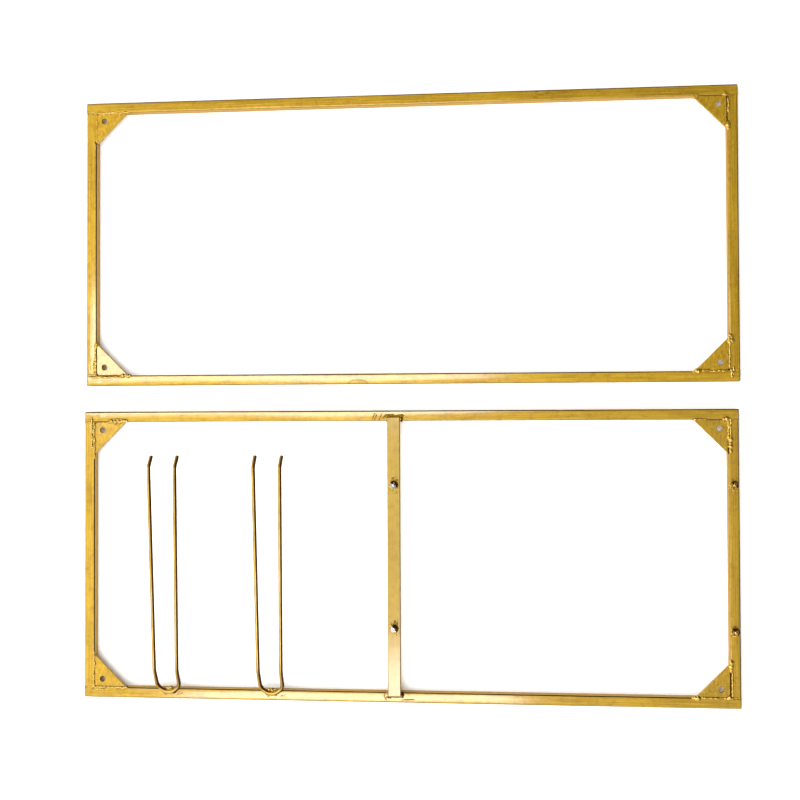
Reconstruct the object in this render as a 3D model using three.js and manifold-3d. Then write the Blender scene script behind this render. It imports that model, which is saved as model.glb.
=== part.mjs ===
// Two welded steel frames of square tube, lying flat side by side.
// The rack frame (towards -Y) has a flat bar across it, two wire loops and four threaded studs with nuts.
// The plain frame (towards +Y) has only its rails and corner gussets.
// Millimetres, +Z up. The origin is on the surface the frames lie on, under the middle of the pair.

import * as THREE from 'three';
import { mergeVertices } from 'three/addons/utils/BufferGeometryUtils.js';
import Module from 'manifold-3d';

// ---- Driving dimensions -------------------------------------------------------------------------

// Both frames
const FRAME_LENGTH = 750; // outer size along X
const FRAME_WIDTH = 333; // outer size along Y
const TUBE_SIZE = 12; // outer size of the square tube
const TUBE_WALL = 1;
const TUBE_EDGE_RADIUS = 1.5; // outside corners of the tube section
const END_PLATE_THICKNESS = 2; // plate that closes each open tube end

// How the two frames lie
const FRAME_SPACING = 30.5; // clear distance between them
const FRAME_STAGGER = 2; // how far the plain frame lies to the right of the rack frame

// Corner gussets
const GUSSET_LEG = 36;
const GUSSET_THICKNESS = 3;
const GUSSET_HOLE_DIAMETER = 6.4;
const GUSSET_HOLE_INSET = 9.5; // hole centre to the inner face of each rail
const GUSSET_TIP_FLAT = 1.2; // blunt end of the two sharp tips
const GUSSET_CORNER_CLIP = 2.5; // clipped right-angle corner, clear of the rail joint

// Flat bar across the rack frame
const BAR_WIDTH = 15;
const BAR_THICKNESS = 3;
const BAR_END_INSET = 7.5; // bar end to the frame's outer edge
const BAR_OFFSET = -11; // bar centre line from the frame's middle, along X
const BAR_END_RADIUS = 1.5;

// Studs and nuts
const STUD_DIAMETER = 4;
const STUD_PROUD = 1.2; // stud end above the nut
const STUD_CHAMFER = 0.5;
const STUD_SPREAD = 163; // front stud to back stud
const NUT_ACROSS_FLATS = 7;
const NUT_HEIGHT = 3.2;
const NUT_CHAMFER_ANGLE = Math.PI / 6; // from the nut's top face

// Wire loops
const WIRE_DIAMETER = 4.5;
const LOOP_FIRST = 101.5; // first loop's centre line from the frame's left outer edge
const LOOP_PITCH = 121; // first loop to second
const LOOP_EDGE_INSET = 8.5; // closed end's wire centre to the frame's front outer edge
const LOOP_BEND_RADIUS = 13; // closed end
const LOOP_TIP_SPACING = 30.6; // between the legs' centre lines, at the tips
const LOOP_TOE = 5; // flat stretch that lies on the rail
const LOOP_KNEE_REACH = 28; // closed end to the knee
const LOOP_KNEE_RISE = 13; // height gained up to the knee
const LOOP_LEG_RISE = 15; // height gained from the knee to the bend at the tips
const LOOP_TIP_REACH = 12;
const LOOP_TIP_DROP = 10.5;
const LOOP_MOUTH = 39.5; // tips to the back rail's inner face, where a stem goes in
const LOOP_FOLD_RADIUS = 8; // knee and tip bends, at the wire's centre line

const FIT_GAP = 0.3; // between pieces that touch
const CUTTER_MARGIN = 0.5; // how far a cutting solid passes the faces it cuts

// Facet counts, all even: sides of a full circle, and steps of a bend
const HOLE_SIDES = 24;
const STUD_SIDES = 16;
const TURNED_SIDES = 48;
const WIRE_SIDES = 12;
const FOLD_STEPS = 4;
const BEND_STEPS = 12;

// ---- Worked-out places --------------------------------------------------------------------------

const RAIL_OFFSET_X = (FRAME_LENGTH - TUBE_SIZE) / 2;
const RAIL_OFFSET_Y = (FRAME_WIDTH - TUBE_SIZE) / 2;
const INNER_HALF_LENGTH = FRAME_LENGTH / 2 - TUBE_SIZE;
const INNER_HALF_WIDTH = FRAME_WIDTH / 2 - TUBE_SIZE;
const LOOP_REACH = FRAME_WIDTH - LOOP_EDGE_INSET - TUBE_SIZE - LOOP_MOUTH; // closed end to the tips
const ON_TUBE = TUBE_SIZE + FIT_GAP; // underside of whatever sits on the rails
const ON_BAR = ON_TUBE + BAR_THICKNESS + FIT_GAP; // underside of whatever sits on the bar

const wasm = await Module();
wasm.setup();

// ---- Materials ----------------------------------------------------------------------------------

const goldPaint = () => new THREE.MeshStandardMaterial({ color: 0xd0a54c, roughness: 0.38, metalness: 0.75 });
const goldWire = () => new THREE.MeshStandardMaterial({ color: 0xb98238, roughness: 0.25, metalness: 0.85 });
const zincPlate = () => new THREE.MeshStandardMaterial({ color: 0xd2d2cc, roughness: 0.3, metalness: 0.95 });

// ---- Shape helpers ------------------------------------------------------------------------------

/** A rectangle centred on the origin, its corners rounded where a radius is given. */
function rectangle(outline, width, height, radius = 0) {
  const x = width / 2;
  const y = height / 2;
  outline.moveTo(x, -y + radius);
  for (const [quarter, signX, signY] of [[0, 1, 1], [1, -1, 1], [2, -1, -1], [3, 1, -1]]) {
    if (radius > 0) {
      const start = (quarter * Math.PI) / 2;
      outline.absarc(signX * (x - radius), signY * (y - radius), radius, start, start + Math.PI / 2);
    } else {
      outline.lineTo(signX * x, signY * y);
    }
  }
  outline.closePath();
  return outline;
}

/** Every arc of the shape, a full circle or a corner's quarter, becomes the given number of sides. */
function extruded(shape, depth, arcSides = 4) {
  return new THREE.ExtrudeGeometry(shape, { depth, bevelEnabled: false, curveSegments: arcSides / 2 });
}

function named(name, geometry, material) {
  const mesh = new THREE.Mesh(geometry, material);
  mesh.name = name;
  return mesh;
}

/** A closed three.js geometry as a manifold solid. */
function toSolid(geometry) {
  const bare = geometry.clone();
  bare.deleteAttribute('normal');
  bare.deleteAttribute('uv');
  const merged = mergeVertices(bare);
  return new wasm.Manifold(new wasm.Mesh({
    numProp: 3,
    vertProperties: new Float32Array(merged.attributes.position.array),
    triVerts: new Uint32Array(merged.index.array),
  }));
}

function fromSolid(solid) {
  const { vertProperties, triVerts } = solid.getMesh();
  const geometry = new THREE.BufferGeometry();
  geometry.setAttribute('position', new THREE.BufferAttribute(vertProperties, 3));
  geometry.setIndex(new THREE.BufferAttribute(triVerts, 1));
  geometry.computeVertexNormals();
  return geometry;
}

/** Points along straight lines through the corners, each inner corner replaced by an arc. */
function roundedPath(corners, radius) {
  const points = [corners[0].clone()];
  for (let i = 1; i < corners.length - 1; i += 1) {
    const inward = corners[i].clone().sub(corners[i - 1]).normalize();
    const outward = corners[i + 1].clone().sub(corners[i]).normalize();
    const turn = Math.atan2(inward.cross(outward), inward.dot(outward));
    const side = Math.sign(turn);
    const start = corners[i].clone().addScaledVector(inward, -radius * Math.tan(Math.abs(turn) / 2));
    const centre = start.clone().add(new THREE.Vector2(-inward.y, inward.x).multiplyScalar(side * radius));
    for (let step = 0; step <= FOLD_STEPS; step += 1) {
      points.push(start.clone().rotateAround(centre, (turn * step) / FOLD_STEPS));
    }
  }
  points.push(corners.at(-1).clone());
  return points;
}

/** Running length up to each point of a path. */
function runningLengths(points) {
  const lengths = [0];
  for (let i = 1; i < points.length; i += 1) {
    lengths.push(lengths[i - 1] + points[i].distanceTo(points[i - 1]));
  }
  return lengths;
}

function pointAtLength(points, lengths, length) {
  const after = Math.max(1, lengths.findIndex((reached) => reached >= length - 1e-9));
  const share = (length - lengths[after - 1]) / (lengths[after] - lengths[after - 1]);
  return points[after - 1].clone().lerp(points[after], share);
}

/** A curve through given stations, so that a sweep has one section at each of them. */
class StationCurve extends THREE.Curve {
  constructor(stations) {
    super();
    this.stations = stations;
  }

  getPointAt(share) {
    const last = this.stations.length - 1;
    return this.stations[Math.round(share * last)].clone();
  }

  getTangentAt(share) {
    const last = this.stations.length - 1;
    const here = Math.round(share * last);
    const before = this.stations[Math.max(here - 1, 0)];
    const after = this.stations[Math.min(here + 1, last)];
    return after.clone().sub(before).normalize();
  }
}

// ---- Pieces -------------------------------------------------------------------------------------

/** Square tube of the given length along X, its middle at the origin. */
function tube(length) {
  const section = rectangle(new THREE.Shape(), TUBE_SIZE, TUBE_SIZE, TUBE_EDGE_RADIUS);
  section.holes.push(rectangle(new THREE.Path(), TUBE_SIZE - 2 * TUBE_WALL, TUBE_SIZE - 2 * TUBE_WALL));
  return extruded(section, length).translate(0, 0, -length / 2).rotateY(Math.PI / 2);
}

/** Plate that fills a tube's open end, its outer face at X = 0 and its body towards -X. */
function endPlate() {
  const side = TUBE_SIZE - 2 * TUBE_WALL - 2 * FIT_GAP;
  const outline = rectangle(new THREE.Shape(), side, side);
  return extruded(outline, END_PLATE_THICKNESS).translate(0, 0, -END_PLATE_THICKNESS).rotateY(Math.PI / 2);
}

/** Triangular plate with its right angle at the origin and its legs along +X and +Y. */
function gusset() {
  const outline = new THREE.Shape();
  outline.moveTo(GUSSET_CORNER_CLIP, 0);
  outline.lineTo(GUSSET_LEG, 0);
  outline.lineTo(GUSSET_LEG, GUSSET_TIP_FLAT);
  outline.lineTo(GUSSET_TIP_FLAT, GUSSET_LEG);
  outline.lineTo(0, GUSSET_LEG);
  outline.lineTo(0, GUSSET_CORNER_CLIP);
  outline.closePath();
  const hole = new THREE.Path();
  const inset = GUSSET_HOLE_INSET - FIT_GAP;
  hole.absarc(inset, inset, GUSSET_HOLE_DIAMETER / 2, 0, 2 * Math.PI);
  outline.holes.push(hole);
  return extruded(outline, GUSSET_THICKNESS, HOLE_SIDES);
}

function centreBar() {
  const outline = rectangle(new THREE.Shape(), BAR_WIDTH, FRAME_WIDTH - 2 * BAR_END_INSET, BAR_END_RADIUS);
  return extruded(outline, BAR_THICKNESS);
}

/** Threaded stud with a chamfered end, standing on Z = 0. */
function stud() {
  const radius = STUD_DIAMETER / 2;
  const height = NUT_HEIGHT + STUD_PROUD;
  const profile = [
    new THREE.Vector2(0, 0),
    new THREE.Vector2(radius, 0),
    new THREE.Vector2(radius, height - STUD_CHAMFER),
    new THREE.Vector2(radius - STUD_CHAMFER, height),
    new THREE.Vector2(0, height),
  ];
  return new THREE.LatheGeometry(profile, STUD_SIDES).rotateX(Math.PI / 2);
}

/** Hexagon nut on Z = 0: a drilled hexagon with the corners of its top turned off. */
function nut() {
  const cornerRadius = NUT_ACROSS_FLATS / 2 / Math.cos(Math.PI / 6);
  const outline = new THREE.Shape();
  for (let corner = 0; corner < 6; corner += 1) {
    const angle = (corner * Math.PI) / 3;
    const method = corner === 0 ? 'moveTo' : 'lineTo';
    outline[method](cornerRadius * Math.cos(angle), cornerRadius * Math.sin(angle));
  }
  outline.closePath();
  const bore = new THREE.Path();
  bore.absarc(0, 0, STUD_DIAMETER / 2 + FIT_GAP, 0, 2 * Math.PI);
  outline.holes.push(bore);
  const hexagon = extruded(outline, NUT_HEIGHT, STUD_SIDES);
  const coneRadius = (z) => NUT_ACROSS_FLATS / 2 + (NUT_HEIGHT - z) / Math.tan(NUT_CHAMFER_ANGLE);
  const below = -CUTTER_MARGIN;
  const above = NUT_HEIGHT + CUTTER_MARGIN;
  const turned = new THREE.LatheGeometry([
    new THREE.Vector2(0, below),
    new THREE.Vector2(coneRadius(below), below),
    new THREE.Vector2(coneRadius(above), above),
    new THREE.Vector2(0, above),
  ], TURNED_SIDES).rotateX(Math.PI / 2);
  return fromSolid(toSolid(hexagon).intersect(toSolid(turned)));
}

/**
 * One wire loop. The wire is first bent into a flat U, then folded across: a flat toe on the rail,
 * a slope up to the knee, long legs and tips turned down. X is across the loop, Y runs from the
 * closed end to the tips, and Z = 0 is the wire's underside at the toe.
 */
function wireLoop() {
  const wireRadius = WIRE_DIAMETER / 2;
  const top = LOOP_KNEE_RISE + LOOP_LEG_RISE;
  const folds = roundedPath([
    new THREE.Vector2(0, 0),
    new THREE.Vector2(LOOP_TOE, 0),
    new THREE.Vector2(LOOP_KNEE_REACH, LOOP_KNEE_RISE),
    new THREE.Vector2(LOOP_REACH - LOOP_TIP_REACH, top),
    new THREE.Vector2(LOOP_REACH, top - LOOP_TIP_DROP),
  ], LOOP_FOLD_RADIUS);
  const lengths = runningLengths(folds);
  const total = lengths.at(-1);
  const flare = Math.atan((LOOP_TIP_SPACING / 2 - LOOP_BEND_RADIUS) / (total - LOOP_BEND_RADIUS));

  const flat = [];
  for (let step = 0; step <= BEND_STEPS; step += 1) {
    const angle = -Math.PI / 2 + (Math.PI / 2 - flare) * (step / BEND_STEPS);
    flat.push(new THREE.Vector2(Math.cos(angle), 1 + Math.sin(angle)).multiplyScalar(LOOP_BEND_RADIUS));
  }
  const legStart = flat.at(-1).clone();
  for (const length of lengths.filter((reached) => reached > legStart.y + 1)) {
    flat.push(new THREE.Vector2(legStart.x + (length - legStart.y) * Math.tan(flare), length));
  }

  const half = flat.map((point) => {
    const folded = pointAtLength(folds, lengths, point.y);
    return new THREE.Vector3(point.x, folded.x, folded.y + wireRadius);
  });
  const mirrored = half.slice(1).reverse().map((point) => new THREE.Vector3(-point.x, point.y, point.z));
  const stations = [...mirrored, ...half];

  const section = new THREE.Shape();
  section.absarc(0, 0, wireRadius, 0, 2 * Math.PI);
  return new THREE.ExtrudeGeometry(section, {
    steps: stations.length - 1,
    curveSegments: WIRE_SIDES / 2,
    extrudePath: new StationCurve(stations),
  });
}

// ---- Assembly -----------------------------------------------------------------------------------

/** Rails, end plates and gussets of one frame, centred on its own group's origin. */
function weldedFrame(prefix) {
  const frame = new THREE.Group();
  const endRailLength = FRAME_WIDTH - 2 * TUBE_SIZE - 2 * FIT_GAP;

  for (const [place, side] of [['front', -1], ['back', 1]]) {
    const rail = named(`${prefix}_${place}_rail`, tube(FRAME_LENGTH), goldPaint());
    rail.position.set(0, side * RAIL_OFFSET_Y, TUBE_SIZE / 2);
    frame.add(rail);
  }
  for (const [place, side] of [['left', -1], ['right', 1]]) {
    const rail = named(`${prefix}_${place}_rail`, tube(endRailLength), goldPaint());
    rail.position.set(side * RAIL_OFFSET_X, 0, TUBE_SIZE / 2);
    rail.rotation.z = Math.PI / 2;
    frame.add(rail);
  }
  for (const [depth, sideY] of [['front', -1], ['back', 1]]) {
    for (const [hand, sideX] of [['left', -1], ['right', 1]]) {
      const plate = named(`${prefix}_end_plate_${depth}_${hand}`, endPlate(), goldPaint());
      plate.position.set((sideX * FRAME_LENGTH) / 2, sideY * RAIL_OFFSET_Y, TUBE_SIZE / 2);
      plate.rotation.z = sideX > 0 ? 0 : Math.PI;
      frame.add(plate);

      const corner = named(`${prefix}_gusset_${depth}_${hand}`, gusset(), goldPaint());
      const cornerX = sideX * (INNER_HALF_LENGTH - FIT_GAP);
      const cornerY = sideY * (INNER_HALF_WIDTH - FIT_GAP);
      corner.position.set(cornerX, cornerY, TUBE_SIZE - GUSSET_THICKNESS);
      corner.rotation.z = Math.atan2(-sideY, -sideX) - Math.PI / 4;
      frame.add(corner);
    }
  }
  return frame;
}

/** A stud with its nut, standing on the face at the given height. */
function addStud(frame, name, x, y, seat, finish) {
  const post = named(`rack_stud_${name}`, stud(), finish());
  post.position.set(x, y, seat);
  const ring = named(`rack_nut_${name}`, nut(), finish());
  ring.position.set(x, y, seat);
  frame.add(post, ring);
}

function rackFrame() {
  const frame = weldedFrame('rack');

  const bar = named('rack_centre_bar', centreBar(), goldPaint());
  bar.position.set(BAR_OFFSET, 0, ON_TUBE);
  frame.add(bar);

  for (const [depth, side] of [['front', -1], ['back', 1]]) {
    const y = (side * STUD_SPREAD) / 2;
    addStud(frame, `bar_${depth}`, BAR_OFFSET, y, ON_BAR, zincPlate);
    addStud(frame, `rail_${depth}`, RAIL_OFFSET_X, y, ON_TUBE, goldPaint);
  }
  for (const [order, name] of ['left', 'right'].entries()) {
    const loop = named(`rack_wire_loop_${name}`, wireLoop(), goldWire());
    const x = LOOP_FIRST + order * LOOP_PITCH - FRAME_LENGTH / 2;
    loop.position.set(x, LOOP_EDGE_INSET - FRAME_WIDTH / 2, ON_TUBE);
    frame.add(loop);
  }
  return frame;
}

const framePair = new THREE.Group();
const rack = rackFrame();
const plain = weldedFrame('plain');
rack.position.set(-FRAME_STAGGER / 2, -(FRAME_WIDTH + FRAME_SPACING) / 2, 0);
plain.position.set(FRAME_STAGGER / 2, (FRAME_WIDTH + FRAME_SPACING) / 2, 0);
framePair.add(rack, plain);

export default framePair;
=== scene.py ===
"""Looks of the welded frame pair: two rectangular frames of square tube, sprayed gold, on white.

Every piece is built round the box of the CAD node that it stands for. Units are metres.
"""

import math
import random

import bmesh
import bpy
from mathutils import Matrix, Vector, noise


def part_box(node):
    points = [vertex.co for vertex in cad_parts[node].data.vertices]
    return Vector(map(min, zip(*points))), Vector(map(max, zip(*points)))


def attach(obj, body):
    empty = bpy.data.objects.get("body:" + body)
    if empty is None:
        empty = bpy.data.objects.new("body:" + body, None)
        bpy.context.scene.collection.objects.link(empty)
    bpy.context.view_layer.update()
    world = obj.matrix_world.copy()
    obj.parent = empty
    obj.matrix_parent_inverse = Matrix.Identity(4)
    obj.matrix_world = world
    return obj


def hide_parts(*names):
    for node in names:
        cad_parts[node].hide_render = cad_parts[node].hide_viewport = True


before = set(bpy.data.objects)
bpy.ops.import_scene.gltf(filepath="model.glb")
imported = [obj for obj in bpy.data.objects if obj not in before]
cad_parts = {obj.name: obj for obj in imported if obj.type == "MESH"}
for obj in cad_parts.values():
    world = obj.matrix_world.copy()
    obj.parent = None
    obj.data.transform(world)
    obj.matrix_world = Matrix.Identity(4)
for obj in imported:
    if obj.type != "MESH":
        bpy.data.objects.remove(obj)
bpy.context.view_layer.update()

MM = 0.001

# ---- Sizes that the frame doesn't give ----

TUBE_WALL = 1.0 * MM
TUBE_EDGE_RADIUS = 1.5 * MM
TUBE_END_ROUND = 0.25 * MM
GAP = 0.3 * MM  # left between neighbouring CAD solids; the welds and the end covers close it
PLATE_EDGE_ROUND = 0.35 * MM
GUSSET_TIP = 1.2 * MM  # width of a gusset's blunted tips
GUSSET_CLIP = 2.5 * MM  # cut off its right-angled corner
GUSSET_HOLE_RADIUS = 3.2 * MM
GUSSET_HOLE_INSET = 9.5 * MM
BAR_CORNER_RADIUS = 1.5 * MM
FLAT_MARGIN = 0.35 * MM
BAR_EDGE_ROUND = 0.9 * MM
WIRE_RADIUS = 2.25 * MM
THREAD_PITCH = 0.7 * MM
THREAD_DEPTH = 0.22 * MM
STUD_CHAMFER = 0.5 * MM
NUT_BORE_RADIUS = 2.06 * MM
NUT_SINK = 0.25 * MM

HANDS = {"left": -1, "right": 1}
DEPTHS = {"front": -1, "back": 1}
BODIES = {"rack": "rack_frame", "plain": "plain_frame"}
ALONG_X = Vector((1, 0, 0))
ALONG_Y = Vector((0, 1, 0))
UP = Vector((0, 0, 1))

# ---- Mesh helpers ----


def add_object(name, mesh, sharp_degrees=40):
    """A new object from a mesh, smooth shaded apart from edges sharper than the given angle."""
    mesh.validate()
    mesh.shade_smooth()
    mesh.set_sharp_from_angle(angle=math.radians(sharp_degrees))
    obj = bpy.data.objects.new(name, mesh)
    bpy.context.scene.collection.objects.link(obj)
    return obj


def mesh_from(bm, name):
    """The finished mesh of a bmesh, which is freed."""
    bmesh.ops.recalc_face_normals(bm, faces=bm.faces)
    mesh = bpy.data.meshes.new(name)
    bm.to_mesh(mesh)
    bm.free()
    return mesh


def loft_into(bm, rings, ring_closed=False):
    """Skins a row of closed rings of equal length. The row ends in caps, or closes on itself."""
    rows = [[bm.verts.new(point) for point in ring] for ring in rings]
    pairs = list(zip(rows, rows[1:]))
    if ring_closed:
        pairs.append((rows[-1], rows[0]))
    else:
        bm.faces.new(list(reversed(rows[0])))
        bm.faces.new(rows[-1])
    for low, high in pairs:
        for i in range(len(low)):
            j = (i + 1) % len(low)
            bm.faces.new((low[i], low[j], high[j], high[i]))


def loft(name, rings, ring_closed=False, sharp_degrees=40):
    """An object skinned from a row of rings."""
    bm = bmesh.new()
    loft_into(bm, rings, ring_closed)
    return add_object(name, mesh_from(bm, name), sharp_degrees)


def rounded_rectangle(width, height, radius, corner_steps=8, face_steps=1):
    """Points round a rectangle centred on the origin, corners as arcs, faces cut in equal steps."""
    points = []
    for quarter in range(4):
        across, up = (width, height) if quarter % 2 == 0 else (height, width)
        turn = Matrix.Rotation(quarter * math.pi / 2, 2)
        for step in range(face_steps):
            share = step / face_steps
            points.append(turn @ Vector((across / 2, (share - 0.5) * (up - 2 * radius))))
        for step in range(corner_steps):
            angle = step / corner_steps * math.pi / 2
            corner = Vector((across / 2 - radius, up / 2 - radius))
            points.append(turn @ (corner + radius * Vector((math.cos(angle), math.sin(angle)))))
    return points


CLOSEST_STATIONS = 0.2 * MM


def stations(length, step, fine=()):
    """Places along a length from end to end, with finer steps round each (centre, reach, step)."""
    steps = max(1, round(length / step))
    places = {round(-length / 2 + length * i / steps, 7) for i in range(steps + 1)}
    for centre, reach, fine_step in fine:
        count = round(2 * reach / fine_step)
        for i in range(count + 1):
            place = centre - reach + 2 * reach * i / count
            if abs(place) < length / 2:
                places.add(round(place, 7))
    ordered = sorted(places)
    kept = [ordered[0]]
    for place in ordered[1:]:
        if place - kept[-1] > CLOSEST_STATIONS:
            kept.append(place)
    kept[-1] = ordered[-1]
    return kept


def finish_piece(obj, body, slot, material, *nodes):
    """Gives a piece its material and body, and hides the CAD nodes that it stands for. The slot is not used.
    """
    obj.data.materials.clear()
    obj.data.materials.append(material)
    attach(obj, body)
    if nodes:
        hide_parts(*nodes)


# ---- Materials ----


class Nodes:
    """Short forms for building the node tree of a material or a world."""

    def __init__(self, owner):
        self.owner = owner
        owner.use_nodes = True
        self.tree = owner.node_tree

    def add(self, kind, inputs=None, **settings):
        node = self.tree.nodes.new(kind)
        for key, value in settings.items():
            setattr(node, key, value)
        for key, value in (inputs or {}).items():
            self.put(node.inputs[key], value)
        return node

    def put(self, socket, value):
        if isinstance(value, bpy.types.NodeSocket):
            self.tree.links.new(value, socket)
        else:
            socket.default_value = value

    def shade(self, inputs):
        """Sets the inputs of the material's shader, and returns the material."""
        shader = self.tree.nodes["Principled BSDF"]
        for key, value in inputs.items():
            self.put(shader.inputs[key], value)
        return self.owner

    def place(self, scale):
        coordinates = self.add("ShaderNodeTexCoord").outputs["Object"]
        mapping = self.add("ShaderNodeMapping", {"Vector": coordinates, "Scale": scale})
        return mapping.outputs["Vector"]

    def noise(self, vector, scale, detail=2.0, roughness=0.5):
        inputs = {"Vector": vector, "Scale": scale, "Detail": detail, "Roughness": roughness}
        return self.add("ShaderNodeTexNoise", inputs).outputs["Fac"]

    def ramp(self, value, low, high, low_out=0.0, high_out=1.0):
        """The value's place between low and high, as a number from low_out to high_out."""
        inputs = {"Value": value, "From Min": low, "From Max": high, "To Min": low_out, "To Max": high_out}
        return self.add("ShaderNodeMapRange", inputs).outputs["Result"]

    def mix(self, share, first, second):
        node = self.add("ShaderNodeMix", data_type="RGBA")
        self.put(node.inputs["Factor"], share)
        for socket, value in ((node.inputs[6], first), (node.inputs[7], second)):
            self.put(socket, value)
        return node.outputs[2]

    def math(self, operation, first, second):
        node = self.add("ShaderNodeMath", operation=operation)
        self.put(node.inputs[0], first)
        self.put(node.inputs[1], second)
        return node.outputs["Value"]

    def facing(self, shaded):
        """How far the surface faces up, and how far it faces a direction across the floor."""
        coordinates = self.add("ShaderNodeTexCoord").outputs["Normal"]
        normal = self.add("ShaderNodeSeparateXYZ", {"Vector": coordinates})
        across = [self.math("MULTIPLY", normal.outputs[axis], share) for axis, share in zip("XY", shaded)]
        return normal.outputs["Z"], self.math("ADD", *across)

    def bump(self, height, distance, strength=1.0, normal=None):
        node = self.add("ShaderNodeBump", {"Height": height, "Distance": distance, "Strength": strength})
        if normal is not None:
            self.put(node.inputs["Normal"], normal)
        return node.outputs["Normal"]


def rgb(red, green, blue):
    return (red, green, blue, 1.0)


GOLD = rgb(0.51, 0.295, 0.006)
GOLD_DEEP = rgb(0.26, 0.13, 0.003)
GOLD_PALE = rgb(0.78, 0.53, 0.055)
GOLD_CREAM = rgb(0.33, 0.235, 0.065)
SIDE_SHADE_GOLD = rgb(0.44, 0.265, 0.008)
EDGE_SHADE_BROWN = rgb(0.045, 0.022, 0.002)
SHADE_BLACK = rgb(0.018, 0.006, 0.001)
BURNT_AND_SHADE_BROWN = rgb(0.055, 0.017, 0.001)
WELD_GOLD = rgb(0.64, 0.41, 0.07)
HEAT_AND_SHADE_BROWN = rgb(0.13, 0.060, 0.002)
HEAT_AND_SHADE_GOLD = rgb(0.29, 0.165, 0.010)
GRAZED_GOLD = rgb(0.50, 0.29, 0.02)
GRAZED_BROWN = rgb(0.20, 0.08, 0.02)
AWAY_FROM_LIGHT = (0.75, 0.65)  # direction across the floor away from the light: paints darken faces turned this way as painted shade, and the studio is dimmer on this side


def gold_paint(name, grain, cream=0.0, weld=False):
    """Metallic gold spray paint: flakes, orange peel, and the grinding lines of the steel under it.

    Painted shade: the sides are a little darker than the top, and the rounded edges are dark brown,
    less so on the side towards the light. cream is the share of a paler, duller coat over the gold.
    On welds the paint is glossier, with burnt brown spots at random, and painted shade in brown on the
    side away from the light.
    """
    n = Nodes(bpy.data.materials.new(name))
    even = n.place((1, 1, 1))
    cloud = n.noise(even, 18, 3)
    patch = n.noise(even, 140, 4, 0.62)
    streak = n.noise(n.place(grain), 1.0, 5, 0.7)
    speck = n.noise(even, 620, 2, 0.6)
    flake = n.add("ShaderNodeTexVoronoi", {"Vector": even, "Scale": 2600.0})
    sparkle = n.add("ShaderNodeSeparateColor", {"Color": flake.outputs["Color"]}).outputs["Red"]
    upward, away = n.facing(AWAY_FROM_LIGHT)

    tone = n.mix(n.ramp(cloud, 0.35, 0.7, 0, 0.5), GOLD, GOLD_DEEP)
    tone = n.mix(n.ramp(streak, 0.48, 0.70, 0, 0.65), tone, GOLD_PALE)
    tone = n.mix(n.ramp(streak, 0.50, 0.32, 0, 0.65), tone, GOLD_DEEP)
    tone = n.mix(n.ramp(patch, 0.52, 0.75, 0, 0.6), tone, GOLD_DEEP)
    tone = n.mix(n.ramp(speck, 0.58, 0.75, 0, 0.4), tone, GOLD_PALE)
    tone = n.mix(n.ramp(sparkle, 0.6, 1.0, 0.0, 0.35), tone, GOLD_PALE)
    tone = n.mix(cream, tone, GOLD_CREAM)
    # Painted shade: the sides are a little darker than the top.
    tone = n.mix(n.ramp(upward, 0.55, 0.20), tone, SIDE_SHADE_GOLD)
    if weld:
        tone = n.mix(0.7, tone, WELD_GOLD)
        tone = n.mix(n.ramp(n.noise(even, 300, 3, 0.65), 0.57, 0.66, 0, 0.7), tone, BURNT_AND_SHADE_BROWN)
        # Painted shade: brown on the side of a weld away from the light.
        tone = n.mix(n.ramp(away, 0.20, 0.65, 0, 0.8), tone, BURNT_AND_SHADE_BROWN)
    else:
        # Painted shade: the rounded edges are dark brown, less so on the side towards the light.
        edge_shade = n.math("MULTIPLY", n.ramp(upward, 0.992, 0.94), n.ramp(upward, 0.10, 0.35))
        edge_shade = n.math("MULTIPLY", edge_shade, n.ramp(away, -0.12, 0.20, 0.35, 1.0))
        tone = n.mix(edge_shade, tone, EDGE_SHADE_BROWN)

    smooth, dull = (0.18, 0.30) if weld else (0.42, 0.57)
    rough = n.ramp(patch, 0.3, 0.7, smooth, dull)
    rough = n.math("ADD", rough, n.ramp(streak, 0.3, 0.7, -0.04, 0.06))

    normal = n.bump(n.noise(even, 700, 3), 0.10 * MM, 0.40)
    normal = n.bump(streak, 0.12 * MM, 0.5, normal)
    normal = n.bump(sparkle, 0.012 * MM, 0.5, normal)
    if weld:
        normal = n.bump(n.noise(even, 1300, 4, 0.7), 0.12 * MM, 0.6, normal)
    return n.shade({
        "Base Color": tone,
        "Roughness": rough,
        "Normal": normal,
        "Metallic": 0.8,
        "Specular Tint": GRAZED_GOLD,
        "Coat Weight": 0.12 if weld else 0.20,
        "Coat Roughness": 0.07 if weld else 0.13,
        "Coat IOR": 3.2,
    })


def shade_and_heat_finish(name, dark, light):
    """Dull, rough dark finish in two tones, for painted shade in seams, gaps and shadows, and for
    heat-browned paint.
    """
    n = Nodes(bpy.data.materials.new(name))
    even = n.place((1, 1, 1))
    blotch = n.noise(even, 480, 4, 0.65)
    return n.shade({
        "Base Color": n.mix(n.ramp(blotch, 0.42, 0.62), dark, light),
        "Roughness": n.ramp(blotch, 0.3, 0.7, 0.5, 0.75),
        "Normal": n.bump(blotch, 0.2 * MM, 0.6),
        "Metallic": 0.3,
        "Specular IOR Level": 0.2,
        "Specular Tint": GRAZED_BROWN,
    })


WIRE_GOLD = rgb(0.57, 0.375, 0.085)
WIRE_DEEP = rgb(0.42, 0.245, 0.035)
WIRE_PALE = rgb(0.76, 0.56, 0.22)
WIRE_SHADE_BROWN = rgb(0.070, 0.022, 0.001)


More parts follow.
